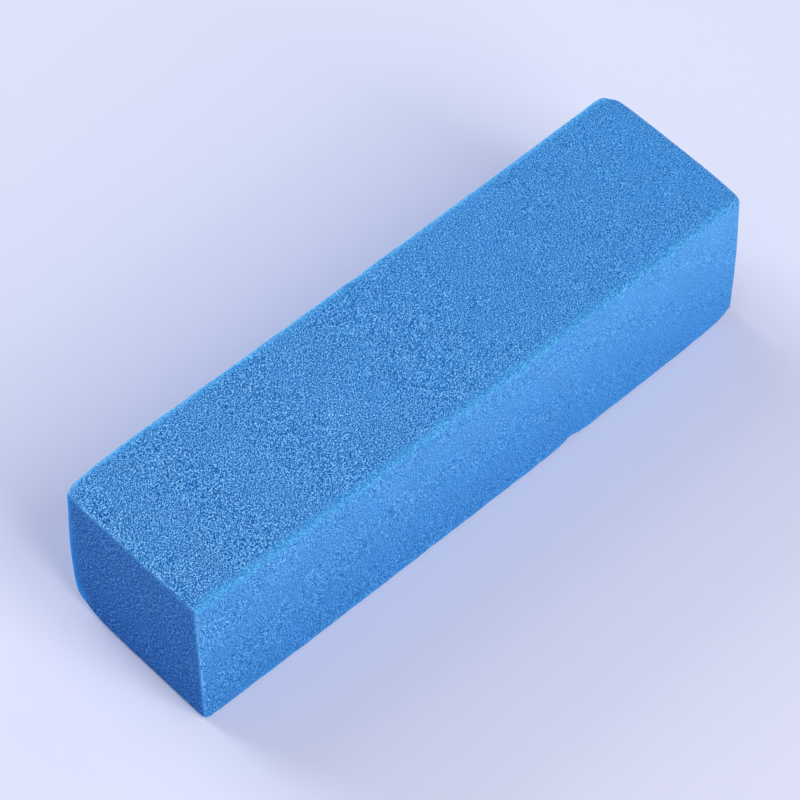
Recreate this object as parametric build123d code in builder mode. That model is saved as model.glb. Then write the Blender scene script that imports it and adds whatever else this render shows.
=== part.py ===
from build123d import *
import os

# A nail buffer block, in millimetres: a bar of closed-cell foam whose four long faces each carry a
# film of bond resin and, on it, a coat of abrasive grit. Both ends are bare cut foam.
# The origin is at the middle of the underside. +X runs along the block, +Y to its back and +Z up.

# Finished block
LENGTH = 95.0
WIDTH = 25.0
HEIGHT = 25.0

# Coats on each long face
BOND_THICKNESS = 0.15
GRIT_THICKNESS = 0.35
COAT_THICKNESS = BOND_THICKNESS + GRIT_THICKNESS

# Strip along each long edge that holds no grit, so that the bond resin shows
BARE_STRIP = 0.9

# Rounding of the block's edges
POST_RADIUS = 3.0  # three of the upright edges at the ends
CRISP_POST_RADIUS = 1.0  # the upright edge at -X, -Y, which is cut crisp
RIM_RADIUS = 0.8  # the edges round the upper face and the underside
CORE_EDGE_RADIUS = RIM_RADIUS - COAT_THICKNESS

CENTRE_HEIGHT = HEIGHT / 2
END_CENTRE = (-LENGTH / 2, 0, CENTRE_HEIGHT)

# Each long face: the direction across it, its width, and its distance from the middle of the block.
# Seen along +X, each face's outward direction is a quarter turn anticlockwise from its across
# direction.
SIDES = {
    "top": ((0, 1, 0), WIDTH, HEIGHT / 2),
    "back": ((0, 0, -1), HEIGHT, WIDTH / 2),
    "bottom": ((0, -1, 0), WIDTH, HEIGHT / 2),
    "front": ((0, 0, 1), HEIGHT, WIDTH / 2),
}


def section_plane(across):
    """The plane of the -X end, centred on the block, with its x axis along the given direction."""
    return Plane(origin=END_CENTRE, x_dir=across, z_dir=(1, 0, 0))


def make_grit_coat(across, face_width, reach):
    """The abrasive coat of one long face: a thin panel whose long borders slope at 45 degrees."""
    outer_half = face_width / 2 - BARE_STRIP
    inner_half = outer_half - GRIT_THICKNESS
    with BuildPart() as grit_coat:
        with BuildSketch(section_plane(across)):
            with BuildLine():
                Polyline(
                    (-outer_half, reach),
                    (outer_half, reach),
                    (inner_half, reach - GRIT_THICKNESS),
                    (-inner_half, reach - GRIT_THICKNESS),
                    close=True,
                )
            make_face()
        extrude(amount=LENGTH)
        add(envelope.part, mode=Mode.INTERSECT)
    return grit_coat


def make_bond_coat(across, face_width, reach, grit_coat):
    """The resin film under one grit coat, thicker at its long edges, where it comes to the surface.

    It meets the films of the two faces beside it on the planes from the block's axis to its edges.
    """
    core_width = face_width - 2 * COAT_THICKNESS
    core_reach = reach - COAT_THICKNESS
    with BuildPart() as bond_coat:
        with BuildSketch(section_plane(across)):
            with BuildLine():
                Polyline((0, 0), (face_width, 2 * reach), (-face_width, 2 * reach), close=True)
            make_face()
            Rectangle(face_width, 2 * reach, mode=Mode.INTERSECT)
            RectangleRounded(core_width, 2 * core_reach, CORE_EDGE_RADIUS, mode=Mode.SUBTRACT)
        extrude(amount=LENGTH)
        add(envelope.part, mode=Mode.INTERSECT)
        add(grit_coat.part, mode=Mode.SUBTRACT)
    return bond_coat


def diagonal_place(edge):
    """How far an edge lies from the -X, -Y corner towards the +X, +Y corner."""
    return edge.center().X + edge.center().Y


# The finished outer shape, which trims every piece.
with BuildPart(Plane.XY.offset(CENTRE_HEIGHT)) as envelope:
    Box(LENGTH, WIDTH, HEIGHT)
    posts = envelope.edges().filter_by(Axis.Z).sort_by(diagonal_place)
    fillet(posts[0], CRISP_POST_RADIUS)
    posts = envelope.edges().filter_by(Axis.Z).sort_by(diagonal_place)
    fillet(posts[-3:], POST_RADIUS)
    upper_rim = envelope.faces().sort_by(Axis.Z)[-1].edges()
    lower_rim = envelope.faces().sort_by(Axis.Z)[0].edges()
    fillet(upper_rim + lower_rim, RIM_RADIUS)

# The foam bar, with bare ends.
with BuildPart() as foam_core:
    with BuildSketch(section_plane(SIDES["top"][0])):
        RectangleRounded(WIDTH - 2 * COAT_THICKNESS, HEIGHT - 2 * COAT_THICKNESS, CORE_EDGE_RADIUS)
    extrude(amount=LENGTH)
    add(envelope.part, mode=Mode.INTERSECT)

os.makedirs("parts", exist_ok=True)

foam_core.part.label = "foam_core"
export_step(foam_core.part, "parts/foam_core.step")

for side, (across, face_width, reach) in SIDES.items():
    grit_coat = make_grit_coat(across, face_width, reach)
    grit_coat.part.label = f"grit_coat_{side}"
    export_step(grit_coat.part, f"parts/grit_coat_{side}.step")

    bond_coat = make_bond_coat(across, face_width, reach, grit_coat)
    bond_coat.part.label = f"bond_coat_{side}"
    export_step(bond_coat.part, f"parts/bond_coat_{side}.step")
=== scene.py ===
import math

import bpy
import numpy as np
from mathutils import Matrix, Vector


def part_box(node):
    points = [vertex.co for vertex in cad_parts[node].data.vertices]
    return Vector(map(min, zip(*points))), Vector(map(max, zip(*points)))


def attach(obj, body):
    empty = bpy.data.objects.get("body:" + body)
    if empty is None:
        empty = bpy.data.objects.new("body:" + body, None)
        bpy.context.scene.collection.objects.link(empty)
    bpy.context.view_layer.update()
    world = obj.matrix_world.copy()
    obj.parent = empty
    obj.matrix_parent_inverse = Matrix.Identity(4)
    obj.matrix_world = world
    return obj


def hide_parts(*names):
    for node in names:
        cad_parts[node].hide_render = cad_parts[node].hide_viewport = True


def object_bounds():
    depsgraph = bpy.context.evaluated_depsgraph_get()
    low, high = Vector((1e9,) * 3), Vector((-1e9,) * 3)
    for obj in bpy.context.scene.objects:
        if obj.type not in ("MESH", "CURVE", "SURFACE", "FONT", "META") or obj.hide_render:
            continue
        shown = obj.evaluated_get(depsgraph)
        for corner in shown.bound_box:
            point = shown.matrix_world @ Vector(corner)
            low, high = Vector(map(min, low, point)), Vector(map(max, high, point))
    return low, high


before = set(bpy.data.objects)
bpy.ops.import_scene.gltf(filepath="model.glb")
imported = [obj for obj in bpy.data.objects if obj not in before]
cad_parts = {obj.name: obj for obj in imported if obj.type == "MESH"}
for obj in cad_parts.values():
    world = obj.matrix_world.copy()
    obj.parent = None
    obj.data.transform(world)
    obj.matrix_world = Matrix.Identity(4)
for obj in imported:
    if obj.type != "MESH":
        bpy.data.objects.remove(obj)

# A nail buffer block: a bar of blue foam with a coat of abrasive grit on each of its four long faces,
# held by a film of resin that shows as a smoother strip along the long edges. Lengths are in
# millimetres until a mesh is written in metres. The block is sharp, with its middle at the origin,
# until worn() wears it and stands it on the floor.
MM = 0.001
rng = np.random.default_rng(4)

cad_box = [list(corner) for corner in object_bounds()]
LOW, HIGH = (np.array(corner) / MM for corner in cad_box)
HALF = (HIGH - LOW) / 2
GRIT_DEPTH = HIGH[2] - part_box("grit_coat_top")[0].z / MM
COAT_DEPTH = HIGH[2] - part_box("foam_core")[1].z / MM
GRIT_HALF_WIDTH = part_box("grit_coat_top")[1].y / MM

# The block as it was cut and worn
FIT = np.array([0.972, 0.9825, 0.974])  # scale of the worn block, which keeps it in the CAD box
PLAIN_RADII = (0.65, 0.9, 1.0)  # of the edges along x, y and z
CRISP_RADIUS = 0.3  # of the near end's upper edge, the least worn
# The edges' radii at the corners: for the edges along each axis, by the signs of a corner's x, y and z
CORNER_RADII = {
    0: {(-1, -1, 1): 0.7, (-1, 1, -1): 7.6, (1, -1, -1): 1.3, (-1, -1, -1): 0.8, (-1, 1, 1): 2.0,
        (1, -1, 1): 1.1},
    1: {(-1, -1, 1): 0.3, (-1, 1, 1): 1.8, (1, -1, -1): 4.1, (1, -1, 1): 1.6, (-1, 1, -1): 2.6,
        (1, 1, 1): 1.4},
    2: {(-1, -1, 1): 0.7, (-1, 1, 1): 2.4, (1, 1, 1): 2.6, (1, -1, 1): 1.5, (-1, 1, -1): 1.7,
        (1, -1, -1): 1.9, (-1, -1, -1): 0.8},
}
RADIUS_REACH = (6.0, 4.0, 10.0)  # how far a corner's radius is felt along the edges of each axis
NICK_PLACE, NICK_RADIUS, NICK_REACH = 16.3, 1.0, 1.3  # a small nick in the front's lower edge, at that x
NEAR_END_TILT = (-0.10, -0.224)  # shift in x of the near end with y and with z
FAR_END_TILT = (-0.072, -0.281)
WIDTH_TAPER = (-0.0079, -0.0060)  # change of width along x and with height
HEIGHT_TAPER = -0.012
BOW = (-0.22, -0.2)  # bend of the block in y and of its upper face in z
LEAN = (0.110, 0.028)  # shift of the upper face in y, and its twist
CENTRING = 0.055  # shift in y that puts the worn block in the middle of its box

SIDES = ("top", "back", "bottom", "front")  # the long faces, in their order round the block

# Mesh: rows along the block and columns across each long face, which make a ring round it
ROWS = 612
COLUMNS = 160
RING = 4 * COLUMNS
PITCH = 2 * HALF[1] / COLUMNS
INNER_STEP = 12  # rows of a coat's skin to one row of its hidden inner face
FOAM_STEPS = 12  # of the foam bar along the block
GRIT_INSET = 3  # columns from a long face's edge to the grit's skin
RESIN_BAND = 12  # columns from a long face's edge in which the resin's skin is fine


def fading(distance, width, power=2):
    """A share that falls smoothly from 1 to 0 over about that width."""
    return np.exp(-((distance / width) ** power))


def rounded(p, a, b, radius):
    """Rounds the edges between axes a and b of the points p of a sharp block."""
    u = np.abs(p[:, a]) - (HALF[a] - radius)
    v = np.abs(p[:, b]) - (HALF[b] - radius)
    inside = (u > 0) & (v > 0)
    pull = np.maximum(u, v) / np.maximum(np.hypot(u, v), 1e-9)
    q = p.copy()
    for axis, w in ((a, u), (b, v)):
        q[inside, axis] = (np.sign(p[:, axis]) * (HALF[axis] - radius + w * pull))[inside]
    return q


def edge_radius(p, axis):
    """Radius of the edge along that axis nearest to each point."""
    a, b = (k for k in range(3) if k != axis)
    plain = np.full(len(p), PLAIN_RADII[axis])
    if axis == 1:
        plain[(p[:, 0] < 0) & (p[:, 2] > 0)] = CRISP_RADIUS
    radius = plain.copy()
    for signs, corner_radius in CORNER_RADII[axis].items():
        distance = HALF[axis] - signs[axis] * p[:, axis]
        weight = fading(distance, RADIUS_REACH[axis])
        nearest = (np.sign(p[:, a]) == signs[a]) & (np.sign(p[:, b]) == signs[b])
        radius += np.where(nearest, (corner_radius - plain) * weight, 0)
    if axis == 0:
        weight = fading(p[:, 0] - NICK_PLACE, NICK_REACH)
        radius += np.where((p[:, 1] < 0) & (p[:, 2] < 0), NICK_RADIUS * weight, 0)
    return radius


def worn(points):
    """Carries points of the sharp block to the worn one. The underside stays flat at the lowest height."""
    p = points.reshape(-1, 3)
    q = rounded(p, 1, 2, edge_radius(p, 0))
    q = rounded(q, 0, 2, edge_radius(p, 1))
    q = rounded(q, 0, 1, edge_radius(p, 2))
    x, y, z = q.T
    nx, ny, nz = (q / HALF).T
    tilt = (1 - nx) / 2 * (NEAR_END_TILT[0] * ny + NEAR_END_TILT[1] * nz)
    tilt += (1 + nx) / 2 * (FAR_END_TILT[0] * ny + FAR_END_TILT[1] * nz)
    lean = CENTRING + BOW[0] * (0.5 - nx**2) + LEAN[0] * nz + LEAN[1] * nz * nx
    rise = (1 + nz) / 2 * (2 * HALF[2] * HEIGHT_TAPER * nx + BOW[1] * (1 - nx**2))
    moved = np.stack([x + tilt, y * (1 + WIDTH_TAPER[0] * nx + WIDTH_TAPER[1] * nz) + lean, z + rise], 1)
    moved[:, 2] += HALF[2]
    return (moved * FIT).reshape(points.shape)


def sharp_ring(x, depth):
    """Points round the four long faces at each x, at that depth below them, as (rows, ring, 3)."""
    depth = np.broadcast_to(depth, (len(x), RING))
    t = np.tile(-1 + 2 * np.arange(COLUMNS) / COLUMNS, 4)
    side = np.repeat(np.arange(4), COLUMNS)
    hy, hz = HALF[1] - depth, HALF[2] - depth
    y = np.choose(side, [t * hy, hy, -t * hy, -hy])
    z = np.choose(side, [hz, -t * hz, -hz, t * hz])
    return np.stack([np.broadcast_to(x[:, None], y.shape), y, z], 2)


def band_noise(shape, longest, shortest):
    """Seamless noise of unit deviation on the mesh's grid, even between two wavelengths."""
    fx = np.fft.fftfreq(shape[0], PITCH)[:, None]
    fy = np.fft.fftfreq(shape[1], PITCH)[None, :]
    f2 = fx**2 + fy**2
    weight = np.exp(-f2 * shortest**2) * (1 - np.exp(-f2 * longest**2))
    field = np.fft.ifft2(np.fft.fft2(rng.standard_normal(shape)) * weight).real
    return field / field.std()


def normals_of(grid, closed):
    """Unit normals of a grid of points, which is closed across its columns or not."""
    along = np.gradient(grid, axis=0)
    if closed:
        across = (np.roll(grid, -1, 1) - np.roll(grid, 1, 1)) / 2
    else:
        across = np.gradient(grid, axis=1)
    n = np.cross(along, across)
    return n / np.linalg.norm(n, axis=2, keepdims=True)


# Relief of the coats
x_rows = np.linspace(-HALF[0], HALF[0], ROWS + 1)
grid_shape = (ROWS + 1, RING)
grain = band_noise(grid_shape, 0.60, 0.10)
swell = band_noise(grid_shape, 12.0, 3.0)
ripple = band_noise(grid_shape, 3.0, 0.9)
fine_grain = band_noise(grid_shape, 1.4, 0.16)

GRIT_RELIEF = 0.085  # depth of the grit's mean surface below the worn block's
RESIN_RELIEF = 0.075
LEAST_RELIEF = 0.003
GRAIN_HEIGHT = 0.028
SWELL_HEIGHT = 0.018
GRAIN_LIMIT = 2.5  # the tallest grain, in deviations
FACE_COARSENESS = (1.0, 0.65)  # of the grit on the top and bottom, and on the front and back
STRIP_WIDTH = 1.2  # of the smoother strip along the long edges, where the grit thins out
STRIP_COARSENESS = 0.55
RESIN_COARSENESS = 0.7
WEAR = (0.92, 0.33)  # the share of its coarseness left halfway along, and its loss from there to the far end
PALER_ALONG = (0.12, 0.28)  # change of shade from halfway along to the far end, for both pairs of faces
DARKER = (0.04, 0)  # for both pairs of faces
END_HIGHLIGHT_WIDTH = 0.40  # of the painted highlight along the coats' cut edges at the ends, where the grit catches the light
EDGE_HIGHLIGHT_WIDTH = 0.40  # of the painted highlight along the long edges' rims
BACK_EDGE_HIGHLIGHT_WIDTH = 0.75  # of the painted highlight along the upper back edge, which faces the back lights
SEAM_WIDTH = 0.14  # of the broken dark line where two faces' resin meets
RAMP = 0.4  # width over which a coat dips under its neighbour


def per_side(top_and_bottom, front_and_back):
    """A row of values round the block, the same for opposite sides."""
    return np.repeat([top_and_bottom, front_and_back] * 2, COLUMNS)[None, :]


def height_shade(height):
    """Painted shade at that share of the height: the lower part is a deeper blue, the upper part a little
    paler.
    """
    return 0.10 - 0.6 * np.clip((0.8 - height) / 0.7, 0, 1)


# Places on the grid: round the block, along it and up it
across = np.arange(COLUMNS) / COLUMNS * 2 - 1
from_middle = np.abs(np.tile(across, 4))[None, :] * HALF[1]
from_edge = HALF[1] - from_middle
from_back_edge = np.abs(np.arange(RING) - COLUMNS)[None, :] * PITCH
along = x_rows[:, None] / HALF[0]
from_end = HALF[0] - np.abs(x_rows)[:, None]
full = np.ones(COLUMNS)
height = np.concatenate([full, (1 - across) / 2, full, (1 + across) / 2])[None, :]

# The grit is coarse on the top and bottom, finer on the front and back, and thins out towards the long
# edges. It is worn smoother, and a little paler, towards the far end.
strip = fading(from_edge, STRIP_WIDTH + 0.25 * ripple + 0.15 * swell, 4)
face_coarseness = per_side(*FACE_COARSENESS)
even_coarseness = face_coarseness + (STRIP_COARSENESS - face_coarseness) * strip
coarseness = even_coarseness * (WEAR[0] - WEAR[1] * along)
paler = per_side(*PALER_ALONG) * along - per_side(*DARKER)
coat_grain = np.clip(grain, -GRAIN_LIMIT, GRAIN_LIMIT) * coarseness
resin_grain = np.clip(fine_grain, -GRAIN_LIMIT, GRAIN_LIMIT) * 0.6

# Shades of the coats: 0 is the middle of their colours and more is lighter, with painted shade and
# highlights
# painted highlight along the coats' cut edges at the ends
end_highlight = fading(from_end, END_HIGHLIGHT_WIDTH)
# painted highlight along the long edges' rims
edge_highlight = fading(from_edge, EDGE_HIGHLIGHT_WIDTH)
# painted highlight along the upper back edge
back_edge_highlight = fading(from_back_edge, BACK_EDGE_HIGHLIGHT_WIDTH)
seam = fading(from_edge, SEAM_WIDTH) * np.clip(ripple, 0, 1.5)
coat_shade = 0.88 * coat_grain + 0.8 * (0.72 - even_coarseness) + 0.8 * end_highlight + paler + height_shade(height)
resin_shade = resin_grain - 0.05 + 0.4 * end_highlight + 0.5 * edge_highlight + 1.1 * back_edge_highlight - 1.1 * seam + height_shade(height)

surface = worn(sharp_ring(x_rows, 0.0))
normals = normals_of(surface, True)
grit_relief = np.maximum(GRIT_RELIEF - GRAIN_HEIGHT * coat_grain - SWELL_HEIGHT * swell, LEAST_RELIEF)
resin_relief = np.maximum(RESIN_RELIEF - GRAIN_HEIGHT * resin_grain - SWELL_HEIGHT * swell, LEAST_RELIEF)
past_border = from_middle - (GRIT_HALF_WIDTH + 0.16 * ripple + 0.10 * swell + 0.06 * grain)


def skin(distance, relief, lowest):
    """Outer points of a coat: its relief, which turns into the lowest depth that far past its border."""
    share = np.clip(distance / RAMP, 0, 1)
    return worn(sharp_ring(x_rows, share * lowest)) - normals * ((1 - share) * relief)[..., None]


grit_skin = skin(past_border, grit_relief, GRIT_DEPTH - 0.02)
resin_skin = skin(-past_border, resin_relief, GRIT_DEPTH)


def side_columns(side, columns):
    """The ring's columns for columns counted from the first edge of a long face."""
    return (side * COLUMNS + np.asarray(columns)) % RING


def shell(outer, inner, rows, columns):
    """Faces of a closed plate: a fine outer grid, a coarse inner one and the walls between them.

    rows and columns are the outer grid's lines at which the inner grid has its own.
    Returns the points, the outer and inner quads, and the walls."""
    n, m = outer.shape[:2]
    top = np.arange(n * m).reshape(n, m)
    low = n * m + np.arange(len(rows) * len(columns)).reshape(len(rows), len(columns))
    quads = np.stack([top[:-1, :-1], top[1:, :-1], top[1:, 1:], top[:-1, 1:]], 2).reshape(-1, 4)
    under = np.stack([low[:-1, :-1], low[:-1, 1:], low[1:, 1:], low[1:, :-1]], 2).reshape(-1, 4)
    walls = []
    for k, (a, b) in enumerate(zip(rows[:-1], rows[1:])):
        walls.append([*top[b:a:-1, 0], top[a, 0], low[k, 0], low[k + 1, 0]])
        walls.append([*top[a : b + 1, -1], low[k + 1, -1], low[k, -1]])
    for k, (a, b) in enumerate(zip(columns[:-1], columns[1:])):
        walls.append([*top[0, a : b + 1], low[0, k + 1], low[0, k]])
        walls.append([*top[-1, b:a:-1], top[-1, a], low[-1, k], low[-1, k + 1]])
    points = np.concatenate([outer.reshape(-1, 3), inner.reshape(-1, 3)])
    return points, quads, under, walls


def make_object(name, points, smooth_faces, flat_faces, attributes):
    """A mesh object with values stored at its points, by the attribute's name."""
    mesh = bpy.data.meshes.new(name)
    faces = [*smooth_faces, *flat_faces]
    mesh.from_pydata((points * MM).tolist(), [], faces)
    smooth = np.arange(len(faces)) < len(smooth_faces)
    mesh.polygons.foreach_set("use_smooth", smooth)
    for key, values in attributes.items():
        layer = mesh.attributes.new(key, "FLOAT", "POINT")
        layer.data.foreach_set("value", values.astype(np.float32))
    mesh.validate()
    mesh.update()
    obj = bpy.data.objects.new(name, mesh)
    bpy.context.scene.collection.objects.link(obj)
    return obj


def coat(name, side, fine_columns, inner_columns, outer_skin, depth, fields):
    """A coat of one long face, from its skin down to that depth, with fields to store on its skin."""
    ring_columns = side_columns(side, fine_columns)
    outer = outer_skin[:, ring_columns]
    rows = np.arange(0, ROWS + 1, INNER_STEP)
    inner = worn(sharp_ring(x_rows[rows], depth))[:, side_columns(side, inner_columns)]
    lines = np.searchsorted(fine_columns, inner_columns)
    points, quads, under, walls = shell(outer, inner, rows, lines)
    spare = len(points) - outer.shape[0] * outer.shape[1]
    attributes = {
        key: np.concatenate([field[:, ring_columns].ravel(), np.zeros(spare)])
        for key, field in fields.items()
    }
    return make_object(name, points, quads.tolist(), under.tolist() + walls, attributes)


# Columns of the skins and of the inner faces, where the resin's middle lies hidden under the grit
GRIT_COLUMNS = np.arange(GRIT_INSET, COLUMNS - GRIT_INSET + 1)
GRIT_INNER = np.array([GRIT_INSET, 7, *range(16, COLUMNS - 15, 16), COLUMNS - 7, COLUMNS - GRIT_INSET])
RESIN_COLUMNS = np.array([*range(RESIN_BAND), *range(RESIN_BAND, COLUMNS - RESIN_BAND, 8),
                          *range(COLUMNS - RESIN_BAND, COLUMNS + 1)])
RESIN_INNER = np.array([0, 4, *range(RESIN_BAND, COLUMNS - RESIN_BAND + 1, 8), COLUMNS - 4, COLUMNS])


# The foam's cut ends
CELL_DEPTH = 0.05  # of the mean surface below the sharp end
CELL_RELIEF = 0.014
SMOOTH_RIM = 0.35
end_lines = np.linspace(-1, 1, COLUMNS + 1)
end_across, end_up = np.meshgrid(*(end_lines * (half - COAT_DEPTH) for half in HALF[1:]), indexing="ij")


def rim_light_share():
    """Share of painted rim light on an end, a lighter cyan: most along its back edge, some along its front
    and top.
    """
    back, front, top = HALF[1] - end_across, HALF[1] + end_across, HALF[2] - end_up
    return np.clip(fading(back, 1.6) + 0.25 * fading(front, 0.8) + 0.3 * fading(top, 0.8), 0, 1)


def foam_end(end):
    """Points and shade of the near end, -1, or the far one, 1, with fine cells inside a smooth rim and
    painted shade lower down.
    """
    grid = worn(np.stack([np.full_like(end_across, end * HALF[0]), end_across, end_up], 2))
    from_rim = (1 - np.abs(end_lines)) * HALF[1]
    rim_distance = np.minimum(from_rim[:, None], from_rim[None, :])
    fade = np.clip(rim_distance / SMOOTH_RIM, 0, 1)
    cells = np.clip(band_noise(end_across.shape, 1.2, 0.26), -2.5, 3.0)
    grid -= normals_of(grid, False) * end * (fade * (CELL_DEPTH - CELL_RELIEF * cells))[..., None]
    return grid.reshape(-1, 3), (cells * fade + height_shade((end_up / HALF[2] + 1) / 2)).ravel()


def foam_bar(name):
    """The bare foam bar: its two ends, and rings of points between their rims."""
    size = COLUMNS + 1
    near, far = foam_end(-1), foam_end(1)
    ids = np.arange(size * size).reshape(size, size)
    quads = np.stack([ids[:-1, :-1], ids[1:, :-1], ids[1:, 1:], ids[:-1, 1:]], 2).reshape(-1, 4)
    ends = np.concatenate([quads[:, ::-1], quads + size * size])
    rim = np.concatenate([ids[:-1, -1], ids[-1, :0:-1], ids[:0:-1, 0], ids[0, :-1]])
    ring = worn(sharp_ring(x_rows[:: ROWS // FOAM_STEPS], COAT_DEPTH))[1:-1].reshape(-1, 3)
    middle = 2 * size * size + np.arange(len(ring)).reshape(-1, RING)
    rings = np.vstack([rim[None], middle, rim[None] + size * size])
    following = np.roll(rings, -1, 1)
    around = np.stack([rings[:-1], rings[1:], following[1:], following[:-1]], 2).reshape(-1, 4)
    points = np.concatenate([near[0], far[0], ring])
    spare = np.zeros(len(ring))
    # painted rim light, the same on both ends
    painted_rim_light = rim_light_share().ravel()
    fields = {
        "grain": np.concatenate([near[1], far[1], spare]),
        "coarseness": np.ones(len(points)),
        "painted_rim_light": np.concatenate([painted_rim_light, painted_rim_light, spare]),
    }
    return make_object(name, points, ends.tolist(), around.tolist(), fields)


# Materials
def new_material(name):
    material = bpy.data.materials.new(name)
    material.use_nodes = True
    tree = material.node_tree
    return material, tree, tree.nodes["Principled BSDF"]


def add(tree, kind, values=(), **settings):
    """A node with its settings, and its inputs set to values or linked to sockets."""
    node = tree.nodes.new(kind)
    for key, value in settings.items():
        setattr(node, key, value)
    for key, value in dict(values).items():
        if isinstance(value, bpy.types.NodeSocket):
            tree.links.new(value, node.inputs[key])
        else:
            node.inputs[key].default_value = value
    return node


def ramp(tree, factor, stops):
    """A colour ramp through (position, colour) stops."""
    node = add(tree, "ShaderNodeValToRGB", {"Fac": factor})
    elements = node.color_ramp.elements
    while len(elements) < len(stops):
        elements.new(1.0)
    for element, (position, colour) in zip(elements, stops):
        element.position = position
        element.color = (*colour, 1)
    return node.outputs["Color"]


def noise(tree, size, detail, roughness, offset=(0, 0, 0)):
    """Noise with features of about that size in millimetres, fixed to the object."""
    place = add(tree, "ShaderNodeTexCoord").outputs["Object"]
    moved = add(tree, "ShaderNodeMapping", {"Vector": place, "Location": offset})
    values = {"Vector": moved.outputs["Vector"], "Scale": 1 / (size * MM), "Detail": detail,
              "Roughness": roughness}
    return add(tree, "ShaderNodeTexNoise", values).outputs["Fac"]


def maths(tree, operation, a, b, clamp=False):
    node = add(tree, "ShaderNodeMath", {0: a, 1: b}, operation=operation, use_clamp=clamp)
    return node.outputs["Value"]


SHADE_SPREAD = 0.20  # share of the colours that one step of the stored grain takes up
FINE_SIZE = 0.16
BUMP_SIZE = 0.17
PATCH_SIZE = 4.0


def grain_factor(tree, fine_share):
    """The stored grain, plus finer noise, as a number from 0 in the pits to 1 on the peaks."""
    stored = add(tree, "ShaderNodeAttribute", attribute_name="grain").outputs["Fac"]
    fine = noise(tree, FINE_SIZE, detail=1.0, roughness=0.5)
    fine = maths(tree, "MULTIPLY", maths(tree, "SUBTRACT", fine, 0.5), fine_share)
    coarse = add(tree, "ShaderNodeAttribute", attribute_name="coarseness").outputs["Fac"]
    fine = maths(tree, "MULTIPLY", fine, coarse)
    total = maths(tree, "ADD", maths(tree, "MULTIPLY", stored, SHADE_SPREAD), fine)
    return maths(tree, "ADD", total, 0.5, clamp=True)


def mixed(tree, factor, a, b, blend="MIX"):
    node = add(tree, "ShaderNodeMixRGB", {"Fac": factor, "Color1": a, "Color2": b}, blend_type=blend)
    return node.outputs["Color"]


def surface_material(name, stops, fine_share, mottle, rough, bump_depth, specular):
    """A blue grained surface. rough is its lowest and highest roughness, and mottle its patches' depth."""
    material, tree, shader = new_material(name)
    factor = grain_factor(tree, fine_share)
    colour = ramp(tree, factor, stops)
    patches = noise(tree, PATCH_SIZE, detail=3.0, roughness=0.5, offset=(0.013, 0.007, 0.021))
    shade = ramp(tree, patches, [(0.3, (1 - mottle,) * 3), (0.7, (1, 1, 1))])
    colour = mixed(tree, 1.0, colour, shade, "MULTIPLY")
    tree.links.new(colour, shader.inputs["Base Color"])
    roughness = add(tree, "ShaderNodeMapRange", {"Value": factor, "To Min": rough[1], "To Max": rough[0]})
    tree.links.new(roughness.outputs["Result"], shader.inputs["Roughness"])
    fine = noise(tree, BUMP_SIZE, detail=2.0, roughness=0.6, offset=(0.003, 0.001, 0.002))
    bump = add(tree, "ShaderNodeBump", {"Height": fine, "Strength": 1.0, "Distance": bump_depth * MM})
    tree.links.new(bump.outputs["Normal"], shader.inputs["Normal"])
    shader.inputs["Specular IOR Level"].default_value = specular
    return material


def paint_rim_light(material, colour):
    """Turns the material to that lighter colour by its mesh's share of painted rim light."""
    tree = material.node_tree
    base = tree.nodes["Principled BSDF"].inputs["Base Color"]
    share = add(tree, "ShaderNodeAttribute", attribute_name="painted_rim_light").outputs["Fac"]
    tree.links.new(mixed(tree, share, base.links[0].from_socket, (*colour, 1)), base)


grit_material = surface_material(
    "blue_grit",
    [(0.0, (0.002, 0.074, 0.300)), (0.25, (0.011, 0.150, 0.475)), (0.5, (0.046, 0.265, 0.675)),
     (0.75, (0.145, 0.445, 0.880)), (1.0, (0.350, 0.680, 0.970))],
    fine_share=2.7, mottle=0.06, rough=(0.55, 0.85), bump_depth=0.026, specular=0.20,
)
resin_material = surface_material(
    "cyan_resin",
    [(0.0, (0.003, 0.110, 0.400)), (0.5, (0.044, 0.280, 0.700)), (1.0, (0.210, 0.640, 0.980))],
    fine_share=2.4, mottle=0.05, rough=(0.50, 0.68), bump_depth=0.020, specular=0.20,
)
foam_material = surface_material(
    "blue_foam",
    [(0.0, (0.003, 0.070, 0.330)), (0.5, (0.028, 0.176, 0.545)), (0.75, (0.075, 0.285, 0.705)),
     (1.0, (0.215, 0.510, 0.930))],
    fine_share=2.1, mottle=0.07, rough=(0.75, 0.92), bump_depth=0.020, specular=0.10,
)
# Painted rim light: a lighter cyan along the edges of the foam's ends, most along the back edge
paint_rim_light(foam_material, (0.030, 0.330, 0.860))


def keep(piece, node, material):
    """Gives a piece its material and its body, and hides the CAD part that it stands for."""
    piece.data.materials.append(material)
    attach(piece, "root")
    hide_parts(node)


for side, side_name in enumerate(SIDES):
    grit = coat(side_name + "_grit", side, GRIT_COLUMNS, GRIT_INNER, grit_skin, GRIT_DEPTH,
                {"grain": coat_shade, "coarseness": coarseness})
    keep(grit, "grit_coat_" + side_name, grit_material)
    resin = coat(side_name + "_resin", side, RESIN_COLUMNS, RESIN_INNER, resin_skin, COAT_DEPTH,
                 {"grain": resin_shade, "coarseness": np.full(grid_shape, RESIN_COARSENESS)})
    keep(resin, "bond_coat_" + side_name, resin_material)

foam = foam_bar("foam_bar")
keep(foam, "foam_core", foam_material)


# Floor, light and camera
BACKDROP = (0.74, 0.76, 0.94)
FLOOR_HALF = 3.0  # metres
FLOOR_DROP = 0.00005  # metres below the block, so that the two don't share a plane
SWEEP = (0.15, 0.45)  # metres from the block's middle, between which the floor turns into the backdrop


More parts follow.
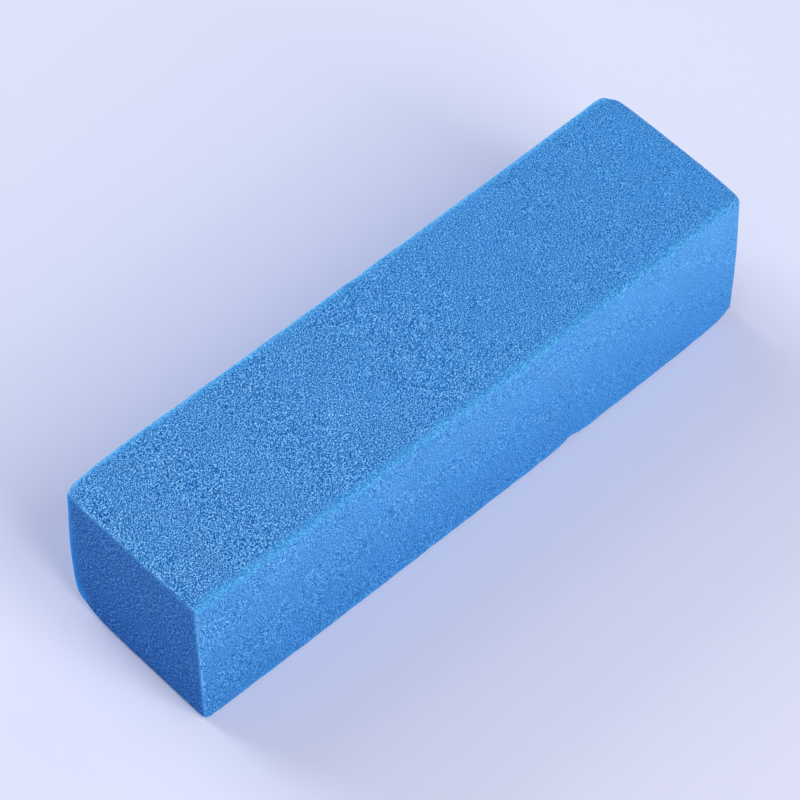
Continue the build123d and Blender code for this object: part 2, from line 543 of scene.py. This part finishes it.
def make_floor():
    """A pale floor that turns into the backdrop far from the block, so that no horizon shows."""
    mesh = bpy.data.meshes.new("floor")
    corners = [(x * FLOOR_HALF, y * FLOOR_HALF, 0) for x, y in ((-1, -1), (1, -1), (1, 1), (-1, 1))]
    mesh.from_pydata(corners, [], [(0, 1, 2, 3)])
    floor = bpy.data.objects.new("floor", mesh)
    bpy.context.scene.collection.objects.link(floor)
    material, tree, shader = new_material("pale_floor")
    shader.inputs["Base Color"].default_value = (0.85, 0.79, 0.93, 1)
    shader.inputs["Roughness"].default_value = 0.9
    shader.inputs["Specular IOR Level"].default_value = 0.1
    place = add(tree, "ShaderNodeTexCoord").outputs["Object"]
    distance = add(tree, "ShaderNodeVectorMath", {0: place}, operation="LENGTH").outputs["Value"]
    far = add(tree, "ShaderNodeMapRange", {"Value": distance, "From Min": SWEEP[0], "From Max": SWEEP[1]},
              interpolation_type="SMOOTHSTEP")
    glow = add(tree, "ShaderNodeEmission", {"Color": (*BACKDROP, 1)})
    swept = add(tree, "ShaderNodeMixShader", {0: far.outputs["Result"], 1: shader.outputs[0],
                                              2: glow.outputs[0]})
    tree.links.new(swept.outputs[0], tree.nodes["Material Output"].inputs["Surface"])
    mesh.materials.append(material)
    floor.location.z = -FLOOR_DROP


def direction(azimuth, elevation):
    """Unit vector to where a viewer stands, with azimuth 0 at -Y and 90 at +X, in degrees."""
    a, e = math.radians(azimuth), math.radians(elevation)
    return Vector((math.sin(a) * math.cos(e), -math.cos(a) * math.cos(e), math.sin(e)))


SOFTBOX_SIZE = 0.5  # metres
SOFTBOX_DISTANCE = 0.9  # metres


def softbox(name, azimuth, elevation, power, colour):
    """A square light that faces the middle of the block."""
    light = bpy.data.lights.new(name, "AREA")
    light.size = SOFTBOX_SIZE
    light.energy = power
    light.color = colour
    obj = bpy.data.objects.new(name, light)
    target = Vector((0, 0, HALF[2] * MM))
    obj.location = target + direction(azimuth, elevation) * SOFTBOX_DISTANCE
    obj.rotation_euler = (obj.location - target).to_track_quat("Z", "Y").to_euler()
    bpy.context.scene.collection.objects.link(obj)


def make_world(colour, strength):
    """Even light from all round, behind which the camera sees a pale backdrop."""
    world = bpy.data.worlds.new("studio")
    world.use_nodes = True
    tree = world.node_tree
    light = tree.nodes["Background"]
    light.inputs["Color"].default_value = (*colour, 1)
    light.inputs["Strength"].default_value = strength
    backdrop = add(tree, "ShaderNodeBackground", {"Color": (*BACKDROP, 1)})
    seen_directly = add(tree, "ShaderNodeLightPath").outputs["Is Camera Ray"]
    shaders = {0: seen_directly, 1: light.outputs[0], 2: backdrop.outputs[0]}
    chosen = add(tree, "ShaderNodeMixShader", shaders)
    tree.links.new(chosen.outputs[0], tree.nodes["World Output"].inputs["Surface"])
    bpy.context.scene.world = world


def make_camera(azimuth, elevation, roll, distance, lens, offset):
    """A camera that looks past the middle of the block, offset across and up in its own view.

    Angles are in degrees and lengths in millimetres."""
    back = direction(azimuth, elevation)
    right = Vector((math.cos(math.radians(azimuth)), math.sin(math.radians(azimuth)), 0))
    turn = Matrix.Rotation(math.radians(roll), 3, back)
    right = turn @ right
    up = back.cross(right)
    target = Vector((0, 0, HALF[2] * MM)) + (right * offset[0] + up * offset[1]) * MM
    camera = bpy.data.cameras.new("camera")
    camera.sensor_width = 36
    camera.lens = lens
    camera.clip_start = 0.01
    obj = bpy.data.objects.new("camera", camera)
    turned = Matrix((right, up, back)).transposed().to_4x4()
    obj.matrix_world = Matrix.Translation(target + back * distance * MM) @ turned
    bpy.context.scene.collection.objects.link(obj)
    bpy.context.scene.camera = obj


make_floor()
softbox("front_low", 0, 22, 3.55, (1.0, 1.0, 0.89))
softbox("front_high", 0, 50, 3.3, (0.78, 0.93, 0.93))
softbox("back_low", 190, 22, 4.8, (0.80, 1.0, 0.98))
softbox("back_high", 180, 50, 1.5, (0.74, 0.78, 1.0))
make_world((0.81, 0.84, 1.0), 0.32)
make_camera(azimuth=-43.648, elevation=54.207, roll=0.809, distance=515.0, lens=185.5485,
            offset=(-1.665, -0.656))
bpy.context.scene.view_settings.view_transform = "Standard"
